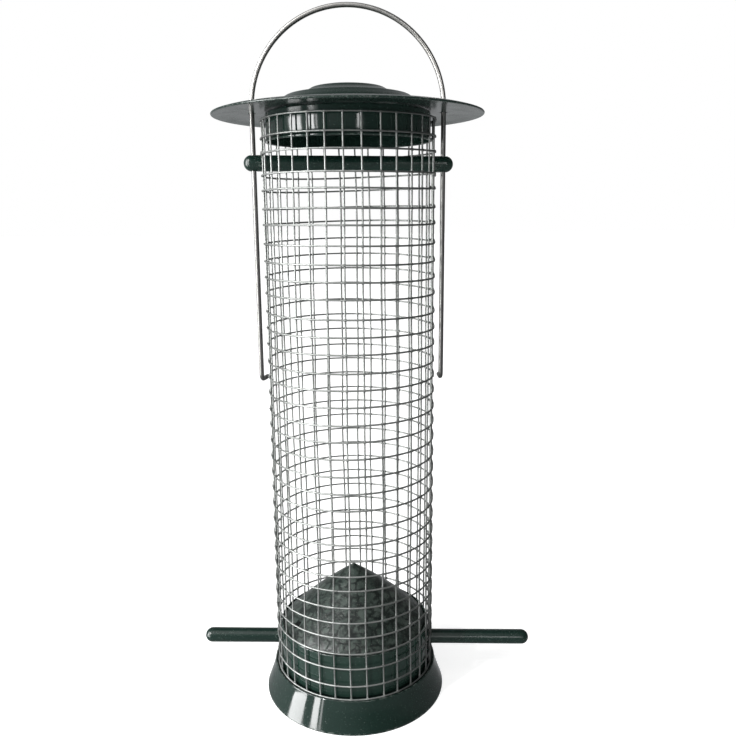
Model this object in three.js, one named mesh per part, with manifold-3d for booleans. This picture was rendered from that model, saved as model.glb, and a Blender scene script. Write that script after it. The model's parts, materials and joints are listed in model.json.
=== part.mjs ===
// Hanging mesh-tube bird feeder: a flared base with a seed cone, a welded wire tube,
// a perch and a cross rod, a lid with a plug, and a sliding wire handle.
// Millimetres, +Z up. Heights are counted from the table; the last step moves the origin
// up to the inside of the handle's crown, where the feeder hangs on its hook.
import * as THREE from 'three';
import { mergeVertices } from 'three/addons/utils/BufferGeometryUtils.js';
import Module from 'manifold-3d';

const wasm = await Module();
wasm.setup();

// Driving dimensions
const CLEARANCE = 0.3;
const SHEET = 0.8;

const MESH_PITCH = 6.35;
const MESH_RADIUS = 31.7;
const MESH_WIRE = 0.65;
const MESH_SQUARES_HIGH = 34;
const MESH_BOTTOM = 12.5;
const MESH_TOP = MESH_BOTTOM + MESH_SQUARES_HIGH * MESH_PITCH;

const FOOT_RADIUS = 36.9;
const FOOT_RIM = 0.9;
const SKIRT_TOP_RADIUS = 32.9;
const LEDGE_TOP = 11.6;
const LEDGE_INNER_RADIUS = 26.5;

const CUP_RADIUS = 30.4;
const CUP_RIM_HEIGHT = 29.2;
const CUP_LEDGE_WIDTH = 1.6;

const CONE_APEX_HEIGHT = 53.1;
const CONE_SLOPE = 0.68;
const CONE_BULGE = 0.0049;
const CONE_THICKNESS = 1.1;
const DRAIN_RADIUS = 1.5;
const DRAIN_DISTANCE = 25.5;
const DRAIN_AZIMUTH = 64;

const ROD_RADIUS = 2.95;
const ROD_HOLE_RADIUS = 3.35;
const PERCH_LENGTH = 136;
const PERCH_OFFSET = 5.5;
const PERCH_HEIGHT = 20;
const PERCH_TILT = 1.75;
const TOP_ROD_LENGTH = 77.4;
const TOP_ROD_HEIGHT = MESH_TOP - 2.5 * MESH_PITCH;
const TOP_ROD_TILT = 0.7;
const RING_PUSH = 1;

const LID_RADIUS = 49.4;
const LID_UNDERSIDE = MESH_TOP + MESH_WIRE / 2 + CLEARANCE;
const LID_HOLE_RADIUS = 1.5;
const PLUG_RADIUS = 30.2;
const PLUG_BOTTOM = 220;
const PLUG_BEAD = 0.5;

const HANDLE_WIRE_RADIUS = 0.9;
const HANDLE_HALF_WIDTH = 35;
const HANDLE_ARC_CENTRE = 232.2;
const HANDLE_FOOT_HEIGHT = 131.2;
const HANDLE_FOOT_LENGTH = 6.5;
const HANDLE_BEND_RADIUS = 2.2;
const ROD_CROSS_HOLE_RADIUS = 1.3;
const HANG_HEIGHT = HANDLE_ARC_CENTRE + HANDLE_HALF_WIDTH - HANDLE_WIRE_RADIUS;

// Materials
function paintedMetal(color, roughness) {
  return new THREE.MeshStandardMaterial({ color, roughness, metalness: 0.1 });
}

function bareMetal(color, roughness) {
  return new THREE.MeshStandardMaterial({ color, roughness, metalness: 1 });
}

const GREEN = 0x24392f;
const CONE_GREEN = 0x3a4a41;
const ROD_GREEN = 0x1e2f29;
const GALVANISED = 0xb4b6b4;
const STEEL = 0x9a9c9b;

// Solids: closed three.js geometries go into the boolean library and come back as geometries
function toSolid(geometry) {
  const bare = geometry.index ? geometry.clone() : mergeVertices(geometry.clone());
  bare.deleteAttribute('normal');
  bare.deleteAttribute('uv');
  const merged = mergeVertices(bare, 1e-4);
  return new wasm.Manifold(new wasm.Mesh({
    numProp: 3,
    vertProperties: new Float32Array(merged.attributes.position.array),
    triVerts: new Uint32Array(merged.index.array),
  }));
}

function toGeometry(solid) {
  const mesh = solid.getMesh();
  const geometry = new THREE.BufferGeometry();
  geometry.setAttribute('position', new THREE.BufferAttribute(mesh.vertProperties, 3));
  geometry.setIndex(new THREE.BufferAttribute(mesh.triVerts, 1));
  geometry.computeVertexNormals();
  return geometry;
}

function cut(geometry, cutters) {
  return toGeometry(cutters.reduce((solid, cutter) => solid.subtract(toSolid(cutter)), toSolid(geometry)));
}

function join(geometries) {
  return toGeometry(geometries.map(toSolid).reduce((whole, piece) => whole.add(piece)));
}

// A turned shape: [radius, height] points, spun about the Z axis
function turned(points, segments) {
  const outline = points.map(([radius, height]) => new THREE.Vector2(radius, height));
  return new THREE.LatheGeometry(outline, segments).rotateX(Math.PI / 2);
}

// A ring-shaped turned piece: its profile closes on itself
function turnedRing(points, segments) {
  return turned([...points, points[0]], segments);
}

// The points of an arc in a profile, angles in degrees, both ends included
function arcPoints([radius, height], arcRadius, from, to, steps) {
  return Array.from({ length: steps + 1 }, (_, step) => {
    const angle = THREE.MathUtils.degToRad(from + (to - from) * step / steps);
    return [radius + arcRadius * Math.cos(angle), height + arcRadius * Math.sin(angle)];
  });
}

// A straight rod along X with domed ends, centred on its own middle
function domedRod(length, radius) {
  const straight = length / 2 - radius;
  const profile = [
    ...arcPoints([0, -straight], radius, -90, 0, 4),
    ...arcPoints([0, straight], radius, 0, 90, 4),
  ];
  profile[0][0] = 0;
  profile[profile.length - 1][0] = 0;
  return turned(profile, 20).rotateY(Math.PI / 2);
}

function upright(radius, height, x, y, z) {
  return new THREE.CylinderGeometry(radius, radius, height, 16).rotateX(Math.PI / 2).translate(x, y, z);
}

const sides = [-1, 1];

// Base skirt: spun sheet, flared out to the foot rim and turned in at the top as a ledge
function baseSkirt() {
  const top = LEDGE_TOP + 0.65;
  const profile = [
    [FOOT_RADIUS - FOOT_RIM, 0],
    [FOOT_RADIUS, 0],
    [SKIRT_TOP_RADIUS + 0.4, top - 0.35],
    [SKIRT_TOP_RADIUS, top],
    [SKIRT_TOP_RADIUS - 0.5, top - 0.25],
    [SKIRT_TOP_RADIUS - 0.6, LEDGE_TOP],
    [LEDGE_INNER_RADIUS, LEDGE_TOP],
    [LEDGE_INNER_RADIUS, LEDGE_TOP - SHEET],
    [SKIRT_TOP_RADIUS - 0.7, LEDGE_TOP - SHEET],
  ];
  return turnedRing(profile, 48);
}

// The perch's own line, used for the rod and for the two holes that it lies in
function alongPerch(geometry, offset) {
  return geometry
    .translate(offset, 0, 0)
    .rotateY(THREE.MathUtils.degToRad(PERCH_TILT))
    .translate(0, 0, PERCH_HEIGHT);
}

// Base cup: a sleeve inside the foot of the wire tube, with a flange on the skirt's ledge,
// a lip inside for the cone and a pair of holes for the perch
function baseCup() {
  const bottom = LEDGE_TOP + CLEARANCE;
  const inner = CUP_RADIUS - SHEET;
  const lipTop = CUP_RIM_HEIGHT - 1.6;
  const profile = [
    [CUP_RADIUS, bottom],
    [CUP_RADIUS, CUP_RIM_HEIGHT - 0.3],
    [CUP_RADIUS - 0.25, CUP_RIM_HEIGHT],
    [inner + 0.2, CUP_RIM_HEIGHT],
    [inner, CUP_RIM_HEIGHT - 0.2],
    [inner, lipTop],
    [inner - CUP_LEDGE_WIDTH, lipTop],
    [inner - CUP_LEDGE_WIDTH, lipTop - SHEET],
    [inner, lipTop - SHEET],
    [inner, bottom + SHEET],
    [LEDGE_INNER_RADIUS + CLEARANCE, bottom + SHEET],
    [LEDGE_INNER_RADIUS + CLEARANCE, bottom],
  ];
  const bore = new THREE.CylinderGeometry(ROD_HOLE_RADIUS, ROD_HOLE_RADIUS, 2.5 * CUP_RADIUS, 20);
  return cut(turnedRing(profile, 48), [alongPerch(bore.rotateZ(Math.PI / 2), 0)]);
}

// The cone's surface: it falls away from the apex and grows a little steeper towards the rim
function coneHeight(radius) {
  return CONE_APEX_HEIGHT - CONE_SLOPE * radius - CONE_BULGE * radius ** 2;
}

// Seed cone: a thin spun cone dropped into the cup, with a drain hole on either side
function seedCone() {
  const rim = CUP_RADIUS - SHEET - CLEARANCE;
  const bottom = CUP_RIM_HEIGHT - 1.6 + CLEARANCE;
  const rings = 5;
  const surface = (reach, drop) => Array.from({ length: rings + 1 }, (_, ring) => {
    const radius = reach * ring / rings;
    return [radius, coneHeight(radius) - drop];
  });
  const profile = [
    ...surface(rim - 1.3, CONE_THICKNESS),
    [rim - 1, bottom],
    [rim, bottom],
    ...surface(rim, 0).reverse(),
  ];
  const drains = sides.map((side) => {
    const azimuth = side * THREE.MathUtils.degToRad(DRAIN_AZIMUTH);
    const x = DRAIN_DISTANCE * Math.sin(azimuth);
    const y = -DRAIN_DISTANCE * Math.cos(azimuth);
    return upright(DRAIN_RADIUS, 12, x, y, coneHeight(DRAIN_DISTANCE));
  });
  return cut(turned(profile, 48), drains);
}

// Perch: a coated rod, lying loose and slightly tilted through the tube and the cup
function perchRod() {
  return alongPerch(domedRod(PERCH_LENGTH, ROD_RADIUS), PERCH_OFFSET);
}

// Wire tube: welded square mesh. Every second wire each way is made, so that the openings
// are double size. Each ring is straight from one upright wire to the next, and the rods
// pass through an opening at +X and -X. The cross rod pushes the ring above it up a little.
function meshTube() {
  const columns = 16;
  const rings = MESH_SQUARES_HIGH / 2 + 1;
  const spacing = 2 * MESH_PITCH;
  const half = MESH_WIRE / 2;
  const ringProfile = [
    [MESH_RADIUS - half, -half],
    [MESH_RADIUS + half, -half],
    [MESH_RADIUS + half, half],
    [MESH_RADIUS - half, half],
  ];
  const firstColumn = Math.PI / columns;
  const pieces = [];
  for (let ring = 0; ring < rings; ring += 1) {
    const hoop = turnedRing(ringProfile, columns).rotateZ(firstColumn);
    const push = ring === rings - 2 ? RING_PUSH : 0;
    pieces.push(hoop.translate(0, 0, MESH_BOTTOM + ring * spacing + push));
  }
  for (let column = 0; column < columns; column += 1) {
    const bar = new THREE.BoxGeometry(0.5, 0.6, MESH_TOP - MESH_BOTTOM + 0.2);
    bar.translate(MESH_RADIUS, 0, (MESH_TOP + MESH_BOTTOM) / 2);
    pieces.push(bar.rotateZ(firstColumn + column / columns * 2 * Math.PI));
  }
  return join(pieces);
}

// Top cross rod: ties the tube's mouth and guides the handle's two legs in its cross holes
function topRod() {
  const depth = 4 * ROD_RADIUS;
  const holes = sides.map((side) => upright(ROD_CROSS_HOLE_RADIUS, depth, side * HANDLE_HALF_WIDTH, 0, 0));
  return cut(domedRod(TOP_ROD_LENGTH, ROD_RADIUS), holes);
}

// Lid: a wide brim, a little domed towards its edge, round a low crown that rises in two
// rounded steps, with two holes for the handle's legs
function lidCap() {
  const edgeTop = LID_UNDERSIDE + SHEET;
  const upper = [
    [0, edgeTop + 9.7],
    [6, edgeTop + 9.6],
    [10.2, edgeTop + 9.2],
    [13.2, edgeTop + 8.4],
    [15, edgeTop + 7.3],
    [17, edgeTop + 6.7],
    [20.8, edgeTop + 6.1],
    [23.2, edgeTop + 5.2],
    [25.2, edgeTop + 3.7],
    [27, edgeTop + 2.5],
    [29.4, edgeTop + 1.7],
    [32.5, edgeTop + 1.45],
    [LID_RADIUS - 7.4, edgeTop + 1.25],
    [LID_RADIUS - 3.4, edgeTop + 0.85],
    [LID_RADIUS - 0.3, edgeTop],
    [LID_RADIUS, edgeTop - SHEET / 2],
    [LID_RADIUS - 0.3, LID_UNDERSIDE],
  ];
  const under = upper.slice(0, -3).map(([radius, height]) => [Math.max(radius - 0.3, 0), height - SHEET]);
  const holes = sides.map((side) => upright(LID_HOLE_RADIUS, 8, side * HANDLE_HALF_WIDTH, 0, edgeTop));
  return cut(turned([...under, ...upper.reverse()], 60), holes);
}

// Plug: a collar under the lid that centres it in the tube's mouth, beaded round its lower edge
function lidPlug() {
  const top = LID_UNDERSIDE + 1.1;
  const inner = PLUG_RADIUS - 0.7;
  const bead = arcPoints([PLUG_RADIUS, PLUG_BOTTOM + PLUG_BEAD], PLUG_BEAD, -90, 80, 5);
  const profile = [
    [inner, PLUG_BOTTOM],
    ...bead,
    [PLUG_RADIUS, PLUG_BOTTOM + 3 * PLUG_BEAD],
    [PLUG_RADIUS, top],
    [25.5, top],
    [25.5, top - 0.7],
    [inner, top - 0.7],
  ];
  return turnedRing(profile, 48);
}

// A wire laid through a chain of points, one section at each
class WirePath extends THREE.Curve {
  constructor(points) {
    super();
    this.points = points;
  }

  getPoint(t, target = new THREE.Vector3()) {
    const place = t * (this.points.length - 1);
    const index = Math.min(Math.floor(place), this.points.length - 2);
    return target.lerpVectors(this.points[index], this.points[index + 1], place - index);
  }

  getUtoTmapping(u) {
    return u;
  }
}

// One leg of the handle, from its turned foot up to the shoulder
function legPoints(side, footTurn) {
  const turn = THREE.MathUtils.degToRad(footTurn);
  const back = new THREE.Vector3(-side * Math.sin(turn), Math.cos(turn), 0);
  const corner = new THREE.Vector3(side * HANDLE_HALF_WIDTH, 0, HANDLE_FOOT_HEIGHT);
  const points = [corner.clone().addScaledVector(back, HANDLE_FOOT_LENGTH)];
  for (let step = 0; step <= 4; step += 1) {
    const angle = step / 4 * Math.PI / 2;
    const point = corner.clone().addScaledVector(back, HANDLE_BEND_RADIUS * (1 - Math.sin(angle)));
    points.push(point.setZ(corner.z + HANDLE_BEND_RADIUS * (1 - Math.cos(angle))));
  }
  return points;
}

// Handle: one length of steel wire, a half-round crown on two straight legs with turned feet
function handleWire() {
  const crown = [];
  const crownSteps = 32;
  for (let step = 0; step <= crownSteps; step += 1) {
    const angle = Math.PI * (1 - step / crownSteps);
    const x = HANDLE_HALF_WIDTH * Math.cos(angle);
    const z = HANDLE_ARC_CENTRE + HANDLE_HALF_WIDTH * Math.sin(angle);
    crown.push(new THREE.Vector3(x, 0, z));
  }
  const path = new WirePath([...legPoints(-1, 15), ...crown, ...legPoints(1, 0).reverse()]);
  const section = new THREE.Shape();
  section.absarc(0, 0, HANDLE_WIRE_RADIUS, 0, 2 * Math.PI);
  return new THREE.ExtrudeGeometry(section, {
    extrudePath: path,
    steps: path.points.length - 1,
    curveSegments: 5,
  });
}

function named(name, geometry, material) {
  const mesh = new THREE.Mesh(geometry, material);
  mesh.name = name;
  return mesh;
}

const feeder = new THREE.Group();
feeder.add(
  named('base_skirt', baseSkirt(), paintedMetal(GREEN, 0.15)),
  named('base_cup', baseCup(), paintedMetal(GREEN, 0.25)),
  named('seed_cone', seedCone(), paintedMetal(CONE_GREEN, 0.4)),
  named('perch_rod', perchRod(), paintedMetal(ROD_GREEN, 0.35)),
  named('mesh_tube', meshTube(), bareMetal(GALVANISED, 0.35)),
  named('lid_cap', lidCap(), paintedMetal(GREEN, 0.15)),
  named('lid_plug', lidPlug(), paintedMetal(GREEN, 0.12)),
  named('handle_wire', handleWire(), bareMetal(STEEL, 0.25)),
);

const topRodMesh = named('top_rod', topRod(), paintedMetal(ROD_GREEN, 0.35));
topRodMesh.position.z = TOP_ROD_HEIGHT;
topRodMesh.rotation.y = THREE.MathUtils.degToRad(TOP_ROD_TILT);
feeder.add(topRodMesh);

feeder.position.z = -HANG_HEIGHT;

export default feeder;
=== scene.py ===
import json
import math
import random

import bmesh
import bpy
from mathutils import Matrix, Vector


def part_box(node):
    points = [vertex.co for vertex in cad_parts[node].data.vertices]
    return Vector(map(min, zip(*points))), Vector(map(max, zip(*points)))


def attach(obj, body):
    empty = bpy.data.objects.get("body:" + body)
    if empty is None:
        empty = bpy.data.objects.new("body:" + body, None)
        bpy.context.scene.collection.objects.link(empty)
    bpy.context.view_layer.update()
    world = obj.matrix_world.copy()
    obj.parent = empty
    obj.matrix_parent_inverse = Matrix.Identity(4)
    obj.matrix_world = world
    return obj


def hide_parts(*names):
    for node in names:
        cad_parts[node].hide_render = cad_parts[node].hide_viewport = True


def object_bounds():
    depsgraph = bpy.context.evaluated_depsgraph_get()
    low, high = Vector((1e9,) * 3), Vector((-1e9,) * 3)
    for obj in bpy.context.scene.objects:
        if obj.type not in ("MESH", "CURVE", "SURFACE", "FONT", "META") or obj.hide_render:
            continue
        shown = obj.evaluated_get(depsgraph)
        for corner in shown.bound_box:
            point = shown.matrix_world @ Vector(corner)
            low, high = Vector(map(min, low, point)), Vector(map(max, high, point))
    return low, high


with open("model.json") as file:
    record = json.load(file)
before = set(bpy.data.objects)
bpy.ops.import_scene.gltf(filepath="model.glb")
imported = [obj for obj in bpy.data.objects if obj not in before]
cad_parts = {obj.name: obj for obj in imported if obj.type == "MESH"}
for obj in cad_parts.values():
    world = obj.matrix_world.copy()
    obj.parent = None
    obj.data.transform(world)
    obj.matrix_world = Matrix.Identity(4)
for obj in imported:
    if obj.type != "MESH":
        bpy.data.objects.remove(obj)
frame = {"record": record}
cad_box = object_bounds()


# Base skirt. A ring of spun steel sheet, flared out to the foot rim and turned in at the top
# as a ledge, with a rolled edge round the groove that the wire tube stands in. It is sprayed
# with glossy dark green enamel, and scuffed where it stands.
MM = 0.001
table = cad_box[0].z


def width_of(node):
    """How wide a CAD piece's box is in mm."""
    low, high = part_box(node)
    return (high.x - low.x) / MM


def height_of(node, corner):
    """How high a CAD piece's box stands above the table in mm, at its low corner (0) or high one (1)."""
    return (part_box(node)[corner].z - table) / MM


def arc(radius, height, size, start, end, steps=6):
    """Points of an arc in a profile, round [radius, height], from one angle to another."""
    angles = [math.radians(start + (end - start) * step / steps) for step in range(steps + 1)]
    return [(radius + size * math.cos(a), height + size * math.sin(a)) for a in angles]


def eased(a, b, c, d, part):
    """A value part of the way from b to c, on a curve that comes from a and goes on to d."""
    bow = a - 2.5 * b + 2 * c - d / 2
    twist = 1.5 * (b - c) + (d - a) / 2
    return b + part * ((c - a) / 2 + part * (bow + part * twist))


def flowing(points, steps=5):
    """A smooth outline through a few points, with a number of steps from each to the next."""
    ends = [points[0], *points, points[-1]]
    outline = []
    for corners in zip(ends, ends[1:], ends[2:], ends[3:]):
        for step in range(steps):
            outline.append(tuple(eased(*values, step / steps) for values in zip(*corners)))
    return [*outline, points[-1]]


def smooth(mesh, crease=38):
    """Soft shading, with edges sharper than a crease in degrees kept hard."""
    mesh.shade_smooth()
    mesh.set_sharp_from_angle(angle=math.radians(crease))


def piece(name, verts, faces):
    """A new object from points in metres, with its faces pointing out."""
    mesh = bpy.data.meshes.new(name)
    mesh.from_pydata(verts, [], faces)
    shell = bmesh.new()
    shell.from_mesh(mesh)
    bmesh.ops.recalc_face_normals(shell, faces=shell.faces)
    shell.to_mesh(mesh)
    shell.free()
    smooth(mesh)
    made = bpy.data.objects.new(name, mesh)
    bpy.context.collection.objects.link(made)
    return made


def turned(name, profile, segments=160):
    """A spun piece: [radius, height] points in mm, round the centre line. A profile that doesn't
    start on the centre line closes on itself."""
    verts, rows = [], []
    for radius, height in profile:
        start = len(verts)
        count = 1 if radius < 1e-6 else segments
        for step in range(count):
            turn = 2 * math.pi * step / segments
            verts.append((radius * MM * math.sin(turn), -radius * MM * math.cos(turn), table + height * MM))
        rows.append([start + step % count for step in range(segments)])
    if profile[0][0] > 1e-6:
        rows.append(rows[0])
    faces = []
    for lower, upper in zip(rows, rows[1:]):
        for step in range(segments):
            after = (step + 1) % segments
            corners = dict.fromkeys((lower[step], lower[after], upper[after], upper[step]))
            if len(corners) > 2:
                faces.append(list(corners))
    return piece(name, verts, faces)


class Level:
    """A shader value or colour. Arithmetic on it adds Math nodes to its finish."""

    def __init__(self, finish, socket):
        self.finish = finish
        self.socket = socket

    def maths(self, operation, first, second):
        return self.finish.node("ShaderNodeMath", {"operation": operation}, {0: first, 1: second})

    def __add__(self, other):
        return self.maths("ADD", self, other)

    def __radd__(self, other):
        return self.maths("ADD", other, self)

    def __sub__(self, other):
        return self.maths("SUBTRACT", self, other)

    def __rsub__(self, other):
        return self.maths("SUBTRACT", other, self)

    def __mul__(self, other):
        return self.maths("MULTIPLY", self, other)

    def __rmul__(self, other):
        return self.maths("MULTIPLY", other, self)

    def __truediv__(self, other):
        return self.maths("DIVIDE", self, other)

    def __pow__(self, other):
        return self.maths("POWER", self, other)

    def __abs__(self):
        return self.maths("ABSOLUTE", self, 0.0)

    def held(self):
        """The value kept between 0 and 1."""
        return self.finish.node("ShaderNodeClamp", {}, {"Value": self})

    def above(self, level, softness):
        """0 under a level and 1 over it, with a soft step between."""
        return ((self - level) / softness).held()

    def near(self, level, reach):
        """1 at a level, falling to 0 at a distance."""
        return (1 - abs(self - level) / reach).held()


class Nodes:
    """The node tree of a finish or of the room, with a place that its patterns are laid by."""

    def __init__(self, tree, coordinate):
        self.tree = tree
        self.place = self.node("ShaderNodeTexCoord", {}, {}, coordinate)
        self.x, self.y, self.z = (
            self.node("ShaderNodeSeparateXYZ", {}, {"Vector": self.place}, axis) for axis in "XYZ"
        )

    def feed(self, socket, value):
        """Links a level to a socket, or sets the socket to a constant."""
        if isinstance(value, Level):
            self.tree.links.new(value.socket, socket)
        else:
            socket.default_value = value

    def node(self, kind, settings, sockets, output=0):
        """A node of a type, with its settings and then its sockets set, by its output."""
        made = self.tree.nodes.new(kind)
        for setting, value in settings.items():
            setattr(made, setting, value)
        for socket, value in sockets.items():
            self.feed(made.inputs[socket], value)
        return Level(self, made.outputs[output])

    def mix(self, factor, first, second):
        """One colour over another."""
        return self.node("ShaderNodeMix", {"data_type": "RGBA"}, {0: factor, 6: first, 7: second}, 2)

    def noise(self, size, detail=2.0, stretch=(1, 1, 1)):
        """Noise with features of a size in mm, drawn out along an axis where stretch is small."""
        where = self.node("ShaderNodeVectorMath", {"operation": "MULTIPLY"}, {0: self.place, 1: stretch})
        sockets = {"Vector": where, "Scale": 1 / (size * MM), "Detail": detail}
        return self.node("ShaderNodeTexNoise", {}, sockets)


class Finish(Nodes):
    """One finish: a material round a Principled shader, with its own colour and surface nodes."""

    def __init__(self, name, **constants):
        self.material = bpy.data.materials.new(name)
        self.material.use_nodes = True
        super().__init__(self.material.node_tree, "Object")
        self.shader = self.tree.nodes["Principled BSDF"]
        for socket, value in constants.items():
            self.shader.inputs[socket.replace("_", " ")].default_value = value
        self.height = (self.z - table) / MM
        self.radius = (self.x * self.x + self.y * self.y) ** 0.5 / MM

    def surface(self, **values):
        """Feeds the shader's sockets by name."""
        for socket, value in values.items():
            self.feed(self.shader.inputs[socket.replace("_", " ")], value)

    def bump(self, relief, depth, strength=1.0):
        """Relief from a value, with its full depth in mm."""
        normal = self.node(
            "ShaderNodeBump", {}, {"Height": relief, "Distance": depth * MM, "Strength": strength}, "Normal"
        )
        self.feed(self.shader.inputs["Normal"], normal)


deep_green = (0.005, 0.013, 0.010, 1)
full_green = (0.008, 0.019, 0.015, 1)
dust_grey = (0.24, 0.28, 0.25, 1)
rubbed_grey = (0.16, 0.18, 0.165, 1)


def green_enamel(name, worn, gloss=0.07, deep=deep_green, full=full_green):
    """Glossy dark green enamel. worn takes the finish and gives where its edges are rubbed."""
    paint = Finish(name, IOR=1.5)
    drift = paint.noise(26, 3)
    dust = paint.noise(0.45, 1).above(0.7, 0.05)
    smear = paint.noise(9, 4).above(0.45, 0.3)
    rubbed = (worn(paint) * paint.noise(1.3, 4).above(0.5, 0.12)).held()
    colour = paint.mix(drift, deep, full)
    colour = paint.mix(dust * 0.10, colour, dust_grey)
    colour = paint.mix(rubbed * 0.7, colour, rubbed_grey)
    paint.surface(Base_Color=colour, Roughness=gloss + smear * 0.07 + dust * 0.3 + rubbed * 0.35)
    paint.bump(paint.noise(4.5, 2) + dust * 0.3 - rubbed * 0.4, 0.010, 0.16)
    return paint


def fitted(obj, finish, body, node):
    """The piece takes its finish, rides on its body and stands for its CAD node."""
    obj.data.materials.clear()
    obj.data.materials.append(finish.material)
    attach(obj, body)
    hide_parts(node)


SHEET = 0.8
skirt_flare = 4.4
groove_depth = 0.65
ledge_inner = 26.5
foot_radius = width_of("base_skirt") / 2
skirt_top = height_of("base_skirt", 1)
groove_floor = skirt_top - groove_depth
groove_radius = foot_radius - skirt_flare

skirt = turned("base_skirt_spun", [
    (foot_radius - 0.95, 0.0),
    *arc(foot_radius - 0.45, 0.45, 0.45, -90, 15, 7),
    (foot_radius - 0.35, 1.3),
    (foot_radius - 1.45, 4.4),
    (foot_radius - 2.45, 7.4),
    (foot_radius - 3.28, 10.0),
    *arc(groove_radius + 0.45, skirt_top - 0.42, 0.42, 5, 165, 9),
    (groove_radius + 0.02, groove_floor + 0.12),
    (groove_radius - 0.15, groove_floor),
    (ledge_inner + 0.2, groove_floor),
    (ledge_inner, groove_floor - 0.2),
    (ledge_inner, groove_floor - SHEET),
    (groove_radius - 0.5, groove_floor - SHEET),
    (groove_radius - 0.1, groove_floor - SHEET - 0.35),
])


def skirt_wear(paint):
    """Scuffed round the foot rim, and rubbed along the rolled edge."""
    foot_rim = paint.height.near(0.2, 0.9) * paint.radius.above(foot_radius - 1.5, 0.6)
    return foot_rim + paint.height.near(skirt_top, 0.35) * 0.5


fitted(skirt, green_enamel("gloss green enamel, skirt", skirt_wear), "feeder", "base_skirt")


# Base cup. A sleeve of the same sheet inside the foot of the wire tube, with a flange that lies
# on the skirt's ledge, a lip inside for the cone, and a pair of punched holes for the perch.
perch_low, perch_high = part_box("perch_rod")
perch_middle = (perch_low + perch_high) / 2
perch_joint = next(j for j in frame["record"]["behaviour"]["joints"] if j["name"] == "perch_slide")
perch_axis = Vector(perch_joint["axis"]).normalized()


def drilled(obj, middle, axis, radius, depth):
    """A round hole through a piece, on a line through a point in metres. Sizes are in mm."""
    drill = bmesh.new()
    turn = axis.to_track_quat("Z", "Y").to_matrix().to_4x4()
    bmesh.ops.create_cone(
        drill, cap_ends=True, segments=40, radius1=radius * MM, radius2=radius * MM, depth=depth * MM,
        matrix=Matrix.Translation(middle) @ turn,
    )
    mesh = bpy.data.meshes.new("drill")
    drill.to_mesh(mesh)
    drill.free()
    cutter = bpy.data.objects.new("drill", mesh)
    bpy.context.collection.objects.link(cutter)
    hole = obj.modifiers.new("hole", "BOOLEAN")
    hole.operation = "DIFFERENCE"
    hole.solver = "EXACT"
    hole.object = cutter
    bpy.context.view_layer.update()
    whole = bpy.data.meshes.new_from_object(obj.evaluated_get(bpy.context.evaluated_depsgraph_get()))
    obj.modifiers.clear()
    obj.data = whole
    bpy.data.objects.remove(cutter)
    smooth(whole)


cup_radius = width_of("base_cup") / 2
cup_inner = cup_radius - SHEET
cup_bottom = height_of("base_cup", 0)
cup_rim = height_of("base_cup", 1)
lip_width = 1.6
cone_lip = cup_rim - lip_width
rod_hole = 3.35

cup = turned("base_cup_sleeve", [
    (cup_radius - 0.35, cup_bottom),
    *arc(cup_radius - 0.35, cup_bottom + 0.35, 0.35, -60, 0, 4),
    (cup_radius, 17.0),
    (cup_radius, cup_rim - 1.4),
    *arc(cup_radius - 0.4, cup_rim - 0.4, 0.4, 0, 180, 9),
    (cup_inner, cone_lip),
    (cup_inner - lip_width, cone_lip),
    (cup_inner - lip_width, cone_lip - SHEET),
    (cup_inner, cone_lip - SHEET),
    (cup_inner, cup_bottom + SHEET),
    (ledge_inner + 0.3, cup_bottom + SHEET),
    (ledge_inner + 0.3, cup_bottom),
])
drilled(cup, perch_middle - perch_axis * perch_middle.x, perch_axis, radius=rod_hole, depth=80)


def cup_wear(paint):
    """Rubbed round the rim."""
    return paint.height.near(cup_rim, 0.3) * 0.5


cup_deep_green = (0.008, 0.020, 0.015, 1)
cup_full_green = (0.013, 0.028, 0.022, 1)
cup_paint = green_enamel("gloss green enamel, cup", cup_wear, 0.09, cup_deep_green, cup_full_green)
fitted(cup, cup_paint, "feeder", "base_cup")


# Seed cone. A thin spun cone that drops into the cup and turns the seed outwards to the mesh.
# Its duller coat of the same green has grit specks, a painted shadow and reflection of the mesh wires as
# dark mottles and crackle lines, and a drain hole on each side.
cone_radius = width_of("seed_cone") / 2
cone_bottom = height_of("seed_cone", 0)
cone_apex = height_of("seed_cone", 1)
cone_slope = 0.68
cone_bulge = 0.0049
cone_thickness = 1.1
inner_radius = cone_radius - 1.3
drain_radius = 1.5
drain_distance = 25.5
drain_azimuth = math.radians(64)


def cone_height(radius):
    """The cone's surface: a straight fall from the apex, a little steeper towards the rim."""
    return cone_apex - cone_slope * radius - cone_bulge * radius ** 2


cone_inside = [(part * inner_radius, cone_height(part * inner_radius) - cone_thickness)
               for part in (0, 0.2, 0.4, 0.6, 0.8, 0.93)]
cone_outside = [(part * cone_radius, cone_height(part * cone_radius) - 0.02)
                for part in (0.985, 0.9, 0.8, 0.7, 0.6, 0.5, 0.4, 0.3, 0.2, 0.12, 0.06)]
cone = turned("seed_cone_spun", [
    *cone_inside,
    (cone_radius - 1.2, cone_bottom),
    (cone_radius - 0.12, cone_bottom),
    (cone_radius - 0.02, cone_bottom + 0.12),
    (cone_radius - 0.02, cone_height(cone_radius) - 0.2),
    *cone_outside,
    (0.7, cone_apex - 0.42),
    (0.3, cone_apex - 0.12),
    (0.0, cone_apex),
])
for side in (-1, 1):
    across = side * drain_distance * math.sin(drain_azimuth) * MM
    towards = -drain_distance * math.cos(drain_azimuth) * MM
    level = table + cone_height(drain_distance) * MM
    drilled(cone, Vector((across, towards, level)), Vector((0, 0, 1)), drain_radius, depth=12)

crackle_size = 3.4
crackle_warp = 0.0035
shaded_green = (0.026, 0.038, 0.032, 1)
dusty_green = (0.056, 0.071, 0.062, 1)
painted_wire_shade_green = (0.009, 0.016, 0.013, 1)
painted_wire_shadow_line_green = (0.003, 0.006, 0.005, 1)
grit_grey = (0.22, 0.24, 0.21, 1)

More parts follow.
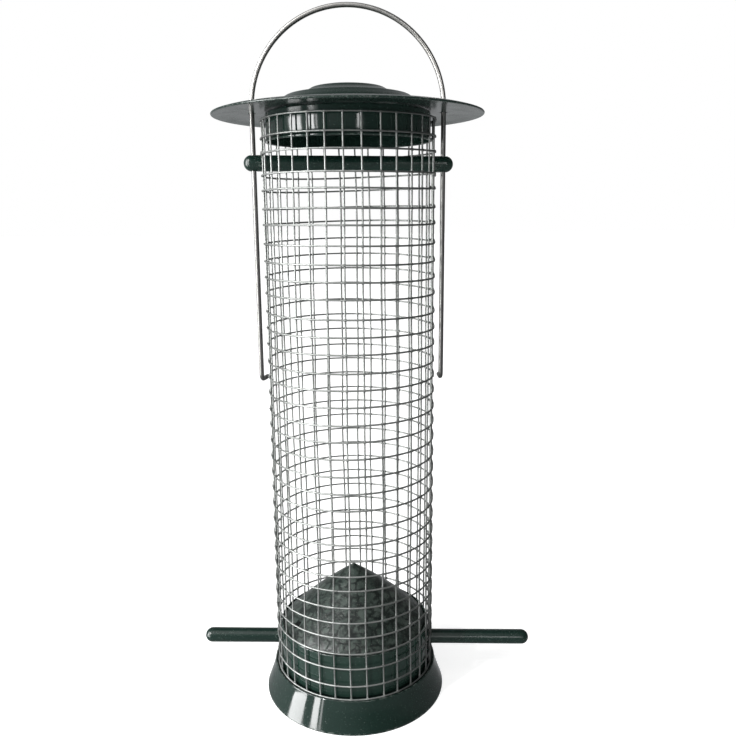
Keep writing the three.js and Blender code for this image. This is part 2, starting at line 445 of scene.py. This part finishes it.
cone_coat = Finish("satin green enamel, cone", IOR=1.45)
cone_warp = cone_coat.noise(5.0, 3)
cone_mottle = cone_coat.noise(2.6, 4)
cone_patches = cone_coat.noise(9, 3)
cone_grit = cone_coat.noise(0.5, 2).above(0.6, 0.08)
cone_cracks = cone_coat.node(
    "ShaderNodeTexVoronoi", {"feature": "DISTANCE_TO_EDGE"},
    {"Vector": cone_coat.mix(crackle_warp, cone_coat.place, cone_warp), "Scale": 1 / (crackle_size * MM)},
)
# Painted shade: the dark mottles and crackle lines stand in for the mesh wires' shadows and reflections on
# the cone.
cone_painted_wire_shadow_lines = (1 - cone_cracks.above(0.05, 0.16)) * cone_mottle.above(0.36, 0.12)
cone_colour = cone_coat.mix(cone_patches.above(0.38, 0.25), shaded_green, dusty_green)
cone_colour = cone_coat.mix(cone_mottle.above(0.52, 0.08) * 0.7, cone_colour, painted_wire_shade_green)
cone_colour = cone_coat.mix(cone_painted_wire_shadow_lines * 0.9, cone_colour, painted_wire_shadow_line_green)
cone_colour = cone_coat.mix(cone_grit * 0.25, cone_colour, grit_grey)
cone_coat.surface(Base_Color=cone_colour, Roughness=0.22 + cone_mottle * 0.2 + cone_grit * 0.15)
cone_coat.bump(cone_mottle - cone_painted_wire_shadow_lines * 0.5 + cone_grit * 0.3, 0.16, 0.6)
fitted(cone, cone_coat, "feeder", "seed_cone")


# Perch and cross rod. Steel rods with domed ends, dipped in dark green plastic. The perch lies
# loose through mesh and cup, and the cross rod has two holes for the legs of the handle.
rod_low, rod_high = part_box("top_rod")
rod_middle = (rod_low + rod_high) / 2
rod_radius = (rod_high.y - rod_low.y) / 2 / MM
coat_swell = ((-0.97, 0.0), (-0.5, -0.05), (0.0, -0.02), (0.5, -0.06), (0.97, 0.0))


def dipped_rod(name, length, middle, axis):
    """A rod in mm with full domed ends, laid on an axis. Its coat is a little thicker at the ends."""
    straight = length / 2 - rod_radius
    profile = [
        (0.0, -length / 2),
        *arc(0, -straight, rod_radius, -78, 0, 10),
        *[(rod_radius + change, share * straight) for share, change in coat_swell],
        *arc(0, straight, rod_radius, 0, 78, 10),
        (0.0, length / 2),
    ]
    rod = turned(name, profile, 48)
    upright = Matrix.Translation(Vector((0, 0, -table)))
    turn = axis.to_track_quat("Z", "Y").to_matrix().to_4x4()
    rod.data.transform(Matrix.Translation(middle) @ turn @ upright)
    return rod


dip_deep_green = (0.003, 0.012, 0.009, 1)
dip_full_green = (0.006, 0.020, 0.015, 1)
dip_rubbed_green = (0.10, 0.13, 0.11, 1)
lint_grey = (0.30, 0.34, 0.31, 1)


def dipped_green(name, rubbed_at):
    """Dark green dip coat, with a rubbed band at a distance in mm on either side of the centre line."""
    coat = Finish(name, IOR=1.5)
    skin = coat.noise(1.1, 3)
    cloud = coat.noise(14, 3)
    lint = coat.noise(0.35, 1).above(0.69, 0.05)
    rubbed = abs(coat.x / MM).near(rubbed_at, 2.2) * coat.noise(0.9, 3).above(0.52, 0.1)
    colour = coat.mix(cloud, dip_deep_green, dip_full_green)
    colour = coat.mix(lint * 0.3, colour, lint_grey)
    colour = coat.mix(rubbed * 0.5, colour, dip_rubbed_green)
    coat.surface(Base_Color=colour, Roughness=0.21 + cloud * 0.12 + rubbed * 0.15)
    coat.bump(skin + lint * 0.5 - rubbed * 0.6, 0.05, 0.4)
    return coat


tube_radius = 31.7
perch_ends = 2 * rod_radius * MM * (1 - perch_axis.x)
perch_length = (perch_high.x - perch_low.x - perch_ends) / perch_axis.x / MM
perch = dipped_rod("perch_rod_dipped", perch_length, perch_middle, perch_axis)
fitted(perch, dipped_green("green dip coat, perch", tube_radius), "perch", "perch_rod")

wire_radius = 0.9
leg_spread = (width_of("handle_wire") - 2 * wire_radius) / 2
leg_hole = 1.3
rod_tilt = math.radians(0.7)
rod_axis = Vector((math.cos(rod_tilt), 0, -math.sin(rod_tilt)))
cross_length = (width_of("top_rod") - 2 * rod_radius * (1 - rod_axis.x)) / rod_axis.x
top_rod = dipped_rod("top_rod_dipped", cross_length, rod_middle, rod_axis)
for side in (-1, 1):
    hole = rod_middle + Vector((side * leg_spread * MM, 0, 0))
    drilled(top_rod, hole, Vector((0, 0, 1)), leg_hole, depth=12)
fitted(top_rod, dipped_green("green dip coat, cross rod", tube_radius), "feeder", "top_rod")


# Wire tube. Quarter-inch square mesh of thin galvanised wire, welded at each crossing, rolled
# up and closed by hooking the hoops' ends over the last upright. No two squares are quite the
# same, and the wires bow aside where the two rods go through. WIRE is the wire's radius.
SQUARE = 6.35
WIRE = 0.35
squares_high = 34
uprights = 32
upright_step = 11.36
seam_azimuth = 88.0
top_hoop_depth = 0.33
tube_top = height_of("mesh_tube", 1) - top_hoop_depth
tube_bottom = tube_top - squares_high * SQUARE
upright_stand = -0.22
hoop_stand = 0.24
hook_stand = 0.42
hook_lift = 0.75
hook_angles = (215, 175, 135, 95, 50, 10, -25)
rod_room = rod_radius + WIRE * 1.5 + 0.05
bow_start = 0.6
top_hoops_shift = (-1.0, -0.7, 0.2, -0.8)
under_perch_shift = -1.1
wander = random.Random(12)

# The lid has settled the top hoops, and the second hoop runs low, to pass under the perch.
hoop_shift = [wander.gauss(0, 0.26) for _ in range(squares_high + 1)]
for below_top, shift in enumerate(top_hoops_shift):
    hoop_shift[-1 - below_top] = shift
hoop_shift[1] = under_perch_shift
upright_shift = [wander.gauss(0, 0.24) for _ in range(uprights)]

# Slow waves in the rolled mesh, each with its size, its lobes round the tube, its climb and its start.
waves = [
    (
        wander.uniform(0.04, 0.20),
        wander.choice((1, 2, 3)),
        wander.uniform(0.01, 0.09),
        wander.uniform(0, 6.28),
    )
    for _ in range(8)
]

# Where the two rods go through the mesh, as an azimuth and a height.
rod_gaps = []
for rod_point, axis in ((perch_middle, perch_axis), (rod_middle, rod_axis)):
    for side in (-1, 1):
        crossing = rod_point + axis * (side * tube_radius * MM - rod_point.x) / axis.x
        rod_gaps.append((side * 90.0, (crossing.z - table) / MM))


def azimuth_of(column):
    """Degrees from the front at which an upright stands."""
    return seam_azimuth - upright_step * column


def laid(column, row, stand):
    """The place on the tube at a column and a row, which may lie between wires, in metres."""
    azimuth = math.radians(azimuth_of(column))
    lower = min(int(row), squares_high - 1)
    before = min(max(int(column), 0), uprights - 2)
    part = row - lower
    share = column - before
    height = tube_bottom + row * SQUARE + hoop_shift[lower] * (1 - part) + hoop_shift[lower + 1] * part
    round_way = tube_radius * azimuth
    round_way = round_way + upright_shift[before] * (1 - share) + upright_shift[before + 1] * share
    for size, lobes, climb, start in waves:
        height += size * math.sin(lobes * azimuth + climb * row * SQUARE + start)
        round_way += size * 0.8 * math.cos(lobes * azimuth - climb * 1.7 * row * SQUARE + start * 2)
    for rod_azimuth, rod_height in rod_gaps:
        beside = round_way - tube_radius * math.radians(rod_azimuth)
        if beside > math.pi * tube_radius:
            beside -= 2 * math.pi * tube_radius
        if beside < -math.pi * tube_radius:
            beside += 2 * math.pi * tube_radius
        over = height - rod_height
        away = math.hypot(beside, over)
        if away < rod_room + 2 * bow_start:
            pushed = rod_room + max(away - bow_start, 0) * 2 * bow_start / (rod_room + bow_start)
            round_way += beside * (pushed / away - 1)
            height += over * (pushed / away - 1)
    turn = round_way / tube_radius
    height = min(height, tube_top)
    reach = (tube_radius + stand) * MM
    return Vector((reach * math.sin(turn), -reach * math.cos(turn), table + height * MM))


def drawn_wire(verts, faces, path, radii, sides=6):
    """Adds a round wire along a path: points in metres, one radius in mm for each."""
    start = len(verts)
    along = (path[1] - path[0]).normalized()
    across = along.orthogonal().normalized()
    for index, point in enumerate(path):
        ahead = path[min(index + 1, len(path) - 1)] - path[max(index - 1, 0)]
        ahead.normalize()
        across = (across - ahead * across.dot(ahead)).normalized()
        third = ahead.cross(across)
        for side in range(sides):
            turn = 2 * math.pi * side / sides
            verts.append(point + (across * math.cos(turn) + third * math.sin(turn)) * radii[index] * MM)
    for index in range(len(path) - 1):
        for side in range(sides):
            low = start + index * sides
            after = (side + 1) % sides
            faces.append([low + side, low + after, low + sides + after, low + sides + side])
    faces.append([start + side for side in range(sides)])
    faces.append([len(verts) - 1 - side for side in range(sides)])


# Steps along one square, from weld to weld, with the wire's thickness at each. The wires are
# thicker at their welds.
weld_steps = ((0.0, 1.32), (0.09, 1.0), (0.36, 0.97), (0.64, 0.97), (0.91, 1.0))
close_steps = (*weld_steps[:2], *((0.91 * step / 10, 0.97) for step in range(2, 10)), weld_steps[-1])
mesh_verts, mesh_faces = [], []


def steps_along(column, row):
    """Steps along a square, closer together where its wires bow round a rod."""
    for rod_azimuth, rod_height in rod_gaps:
        turn = (azimuth_of(column) - rod_azimuth + 180) % 360 - 180
        over = tube_bottom + row * SQUARE - rod_height
        if max(abs(tube_radius * math.radians(turn)), abs(over)) < 2 * SQUARE:
            return close_steps
    return weld_steps


for column in range(uprights):
    stations = [(-0.11, 0.7), (-0.10, 1.0)]
    for row in range(squares_high):
        stations += [(row + step, swell) for step, swell in steps_along(column, row)]
    stations.append((squares_high, 1.3))
    path = []
    for row, _ in stations:
        below_foot = Vector((0, 0, min(row, 0) * SQUARE * MM))
        path.append(laid(column, max(row, 0), upright_stand) + below_foot)
    drawn_wire(mesh_verts, mesh_faces, path, [WIRE * swell for _, swell in stations])

last = uprights - 1
grip = (WIRE * 2 + 0.06) * MM
for row in range(squares_high + 1):
    stations = []
    for column in range(last):
        stations += [(column + step, swell) for step, swell in steps_along(column, row)]
    stations += [(last, 1.32), (last + 0.11, 0.9)]
    path = [laid(column, row, hoop_stand) for column, _ in stations]
    radii = [WIRE * swell for _, swell in stations]
    post = laid(last, row, upright_stand)
    outward = Vector((post.x, post.y, 0)).normalized()
    sideways = Vector((-outward.y, outward.x, 0))
    lift = Vector((0, 0, (hook_lift if row < squares_high else -hook_lift) * MM))
    hook = [post + lift + (outward * math.cos(a) + sideways * math.sin(a)) * grip
            for a in map(math.radians, hook_angles)]
    path = [*hook, laid(-0.3, row, hook_stand) + lift * 0.6, *path]
    radii = [WIRE * 0.8, *[WIRE * 0.96] * len(hook_angles), *radii]
    drawn_wire(mesh_verts, mesh_faces, path, radii)

wire_tube = piece("mesh_tube_welded", mesh_verts, mesh_faces)
smooth(wire_tube.data, 70)

dull_zinc = (0.26, 0.27, 0.26, 1)
clean_zinc = (0.40, 0.41, 0.40, 1)
grime_grey = (0.13, 0.135, 0.13, 1)

galvanised = Finish("galvanised wire", Metallic=1.0)
spangle = galvanised.noise(1.6, 3)
bloom = galvanised.noise(17, 3)
grime = galvanised.noise(0.6, 2).above(0.6, 0.1)
zinc = galvanised.mix(bloom.above(0.35, 0.35), dull_zinc, clean_zinc)
zinc = galvanised.mix(grime * 0.6, zinc, grime_grey)
galvanised.surface(Base_Color=zinc, Roughness=0.47 + spangle * 0.18 + grime * 0.15)
galvanised.bump(spangle, 0.05, 0.4)
fitted(wire_tube, galvanised, "feeder", "mesh_tube")


# Lid. A wide flat brim round a low crown that rises in two steps, spun from one disc of sheet
# and enamelled. Two holes in the brim slide on the handle's legs, and rub bright at their edges.
lid_radius = width_of("lid_cap") / 2
lid_under = height_of("lid_cap", 0)
edge_top = lid_under + SHEET
crown_top = height_of("lid_cap", 1)
lid_hole = 1.5

lid_top = flowing([
    (0.0, crown_top),
    (7.0, crown_top - 0.05),
    (10.8, crown_top - 0.2),
    (13.0, crown_top - 0.5),
    (14.2, crown_top - 1.1),
    (15.4, crown_top - 1.7),
    (18.2, crown_top - 2.7),
    (20.8, crown_top - 3.1),
    (22.4, crown_top - 3.4),
    (23.4, crown_top - 3.95),
    (24.4, crown_top - 4.5),
    (26.2, crown_top - 5.5),
    (28.2, crown_top - 6.9),
    (29.9, crown_top - 7.9),
    (32.0, edge_top + 1.46),
    (37.0, edge_top + 1.36),
    (42.0, edge_top + 1.22),
    (46.0, edge_top + 0.8),
    (lid_radius - 0.7, edge_top + 0.12),
])
lid_below = [(radius - min(radius, 0.3), height - SHEET) for radius, height in reversed(lid_top)]
lid = turned("lid_cap_spun", [
    *lid_top,
    *arc(lid_radius - 0.38, lid_under + 0.42, 0.37, 75, -90, 8),
    *lid_below[3:],
])
for side in (-1, 1):
    hole = Vector((side * leg_spread * MM, 0, table + edge_top * MM))
    drilled(lid, hole, Vector((0, 0, 1)), lid_hole, depth=8)


def lid_wear(paint):
    """Rubbed round the rim and at the edges of the holes."""
    across = abs(paint.x / MM) - leg_spread
    from_hole = (across * across + paint.y * paint.y / MM / MM) ** 0.5
    return paint.radius.above(lid_radius - 0.35, 0.3) * 0.25 + from_hole.near(lid_hole, 0.8)


fitted(lid, green_enamel("gloss green enamel, lid", lid_wear, gloss=0.23), "lid", "lid_cap")


# Plug. A spun collar fixed under the lid that drops into the mouth of the wire tube. Its lower
# edge is rolled out as a bead, and it is open underneath.
plug_radius = 30.2
plug_inner = 25.5
plug_bottom = height_of("lid_plug", 0)
plug_top = height_of("lid_plug", 1)

plug = turned("lid_plug_spun", [
    (plug_radius - 0.7, plug_bottom + 0.12),
    *arc(plug_radius, plug_bottom + 0.5, 0.5, -110, 75, 10),
    (plug_radius - 0.02, plug_bottom + 1.4),
    (plug_radius - 0.04, plug_bottom + 4.5),
    (plug_radius, plug_top - 0.6),
    *arc(plug_radius - 0.4, plug_top - 0.4, 0.4, 0, 90, 5),
    (plug_inner, plug_top),
    (plug_inner, plug_top - 0.7),
    (plug_radius - 1.3, plug_top - 0.7),
    (plug_radius - 0.7, plug_top - 1.3),
])


def plug_wear(paint):
    """Rubbed along the bead."""
    return paint.height.near(plug_bottom + 0.2, 0.5) * 0.3


plug_paint = green_enamel("gloss green enamel, plug", plug_wear, gloss=0.08)
fitted(plug, plug_paint, "lid", "lid_plug")


# Handle. One length of bright drawn steel wire: a half-round crown on two straight legs, which
# slide in the lid and the cross rod, with a short foot turned back at the end of each. Below the lid
# the legs carry a painted shade from the brim, darker and a little rougher.
crown_centre = height_of("handle_wire", 1) - wire_radius - leg_spread
foot_height = height_of("handle_wire", 0) + wire_radius
foot_reach = 6.5
foot_bend = 2.2
left_foot_turn = 15
crown_steps = 64


def spot(x, y, height):
    """A place in metres, from mm across, back and above the table."""
    return Vector((x * MM, y * MM, table + height * MM))


def leg(side, foot_turn):
    """Points of one leg from the tip of its foot to the shoulder of the crown. The foot is turned
    inwards by a number of degrees."""
    turn = math.radians(foot_turn)
    back = Vector((-side * math.sin(turn), math.cos(turn), 0)) * MM
    corner = spot(side * leg_spread, 0, foot_height)
    points = [corner + back * along for along in (foot_reach, foot_reach - 0.25, foot_bend + 1.0)]
    for step in range(9):
        angle = math.pi / 2 * step / 8
        up = Vector((0, 0, foot_bend * (1 - math.cos(angle)) * MM))
        points.append(corner + back * foot_bend * (1 - math.sin(angle)) + up)
    shin = foot_height + foot_bend
    rise = crown_centre - foot_height - foot_bend
    points += [spot(side * leg_spread, 0, shin + rise * step / 12) for step in range(1, 12)]
    return points


handle_path = leg(-1, left_foot_turn)
for step in range(crown_steps + 1):
    angle = math.pi * (1 - step / crown_steps)
    handle_path.append(spot(leg_spread * math.cos(angle), 0, crown_centre + leg_spread * math.sin(angle)))
handle_path += reversed(leg(1, 0))
handle_radii = [wire_radius] * len(handle_path)
handle_radii[0] = handle_radii[-1] = wire_radius * 0.75
handle_verts, handle_faces = [], []
drawn_wire(handle_verts, handle_faces, handle_path, handle_radii, sides=20)
handle = piece("handle_wire_drawn", handle_verts, handle_faces)

tarnished_steel = (0.44, 0.43, 0.41, 1)
bright_steel = (0.60, 0.59, 0.57, 1)
painted_shade_steel = (0.17, 0.17, 0.165, 1)

bright_wire = Finish("bright drawn wire", Metallic=1.0)
draw_marks = bright_wire.noise(2.5, 3, (1, 1, 0.1))
tarnish = bright_wire.noise(11, 3)
# Painted shade: the legs are darkened below the lid, where the brim shades them.
under_brim_shade = 1 - bright_wire.height.above(lid_under - 4, 6)
steel = bright_wire.mix(tarnish.above(0.4, 0.3), tarnished_steel, bright_steel)
steel = bright_wire.mix(under_brim_shade * 0.85, steel, painted_shade_steel)
bright_wire.surface(Base_Color=steel, Roughness=0.28 + draw_marks * 0.08 + under_brim_shade * 0.1)
bright_wire.bump(tarnish, 0.02, 0.1)
fitted(handle, bright_wire, "handle", "handle_wire")


# Table, light and camera. A pale table under soft daylight, with two tall windows on the left
# and a dimmer one in front, which show as bright bars in the enamel.
floor = piece("floor", [(x, y, table) for x, y in ((-6, -6), (6, -6), (6, 6), (-6, 6))], [[0, 1, 2, 3]])
pale = Finish("pale table", Roughness=0.8, Emission_Color=(1, 1, 1, 1), Emission_Strength=0.8)
pale.surface(Base_Color=pale.mix(pale.noise(40, 3), (0.50, 0.50, 0.495, 1), (0.54, 0.54, 0.535, 1)))
floor.data.materials.append(pale.material)
floor.visible_glossy = False

world = bpy.data.worlds.new("room")
bpy.context.scene.world = world
world.use_nodes = True
room = Nodes(world.node_tree, "Generated")
from_left = (0.05 - room.x * 0.85 - room.y * 0.25).held()
behind = (room.y * 1.5).held() * (1 - abs(room.x) * 1.8).held() * (1.9 - room.z * 2.2).held()
off_table = (0 - room.z).above(0.01, 0.10)
walls_above = 0.08 + from_left * 0.50
table_below = 0.22 + from_left * 0.42
brightness = walls_above * (1 - off_table) + off_table * table_below + behind * 0.40
walls = world.node_tree.nodes["Background"]
walls.inputs["Color"].default_value = (0.96, 0.98, 1, 1)
room.feed(walls.inputs["Strength"], brightness)

# The camera sees plain white round the feeder, and the pieces reflect the room.
seen = world.node_tree.nodes.new("ShaderNodeBackground")
seen.inputs["Color"].default_value = (1, 1, 1, 1)
either = world.node_tree.nodes.new("ShaderNodeMixShader")
room.feed(either.inputs[0], room.node("ShaderNodeLightPath", {}, {}, "Is Camera Ray"))
world.node_tree.links.new(walls.outputs[0], either.inputs[1])
world.node_tree.links.new(seen.outputs[0], either.inputs[2])
world.node_tree.links.new(either.outputs[0], world.node_tree.nodes["World Output"].inputs["Surface"])


def window(name, azimuth, distance, height, wide, tall, power):
    """A soft upright light at an azimuth from the front, facing the feeder. Sizes are in metres."""
    turn = math.radians(azimuth)
    lamp = bpy.data.lights.new(name, "AREA")
    lamp.shape = "RECTANGLE"
    lamp.size = wide
    lamp.size_y = tall
    lamp.energy = power
    made = bpy.data.objects.new(name, lamp)
    bpy.context.collection.objects.link(made)
    made.location = (distance * math.sin(turn), -distance * math.cos(turn), table + height)
    facing = Vector((0, 0, made.location.z)) - made.location
    made.rotation_euler = facing.to_track_quat("-Z", "Y").to_euler()


def sunlight(name, strength, spread, travel):
    """Light from far away, with its spread in degrees and the direction that it travels in."""
    lamp = bpy.data.lights.new(name, "SUN")
    lamp.energy = strength
    lamp.angle = math.radians(spread)
    made = bpy.data.objects.new(name, lamp)
    bpy.context.collection.objects.link(made)
    made.rotation_euler = Vector(travel).to_track_quat("-Z", "Y").to_euler()


window("wide window", azimuth=-76, distance=1.3, height=0.35, wide=0.46, tall=1.5, power=34)
window("narrow window", azimuth=-50, distance=1.3, height=0.35, wide=0.18, tall=1.5, power=15)
window("window blind", azimuth=-42.5, distance=1.3, height=0.35, wide=0.05, tall=1.5, power=1.6)
window("dim window", azimuth=15, distance=1.5, height=0.55, wide=0.16, tall=0.5, power=2.4)
sunlight("daylight", strength=1.1, spread=2.5, travel=(0.60, 0.55, -0.70))
sunlight("sky", strength=0.9, spread=60, travel=(0.35, 0.50, -0.90))

camera = bpy.data.objects.new("camera", bpy.data.cameras.new("camera"))
bpy.context.collection.objects.link(camera)
camera.data.lens = 36.9
camera.data.clip_start = 0.01
camera.location = (0, -288.8 * MM, table + 195.8 * MM)
look_down = math.radians(11.84)
look_right = math.radians(1.29)
tipped = math.radians(0.50)
camera.rotation_euler = (
    Matrix.Rotation(-look_right, 3, "Z") @ Matrix.Rotation(math.pi / 2 - look_down, 3, "X")
    @ Matrix.Rotation(-tipped, 3, "Z")
).to_euler()
bpy.context.scene.camera = camera
bpy.context.scene.view_settings.view_transform = "Standard"
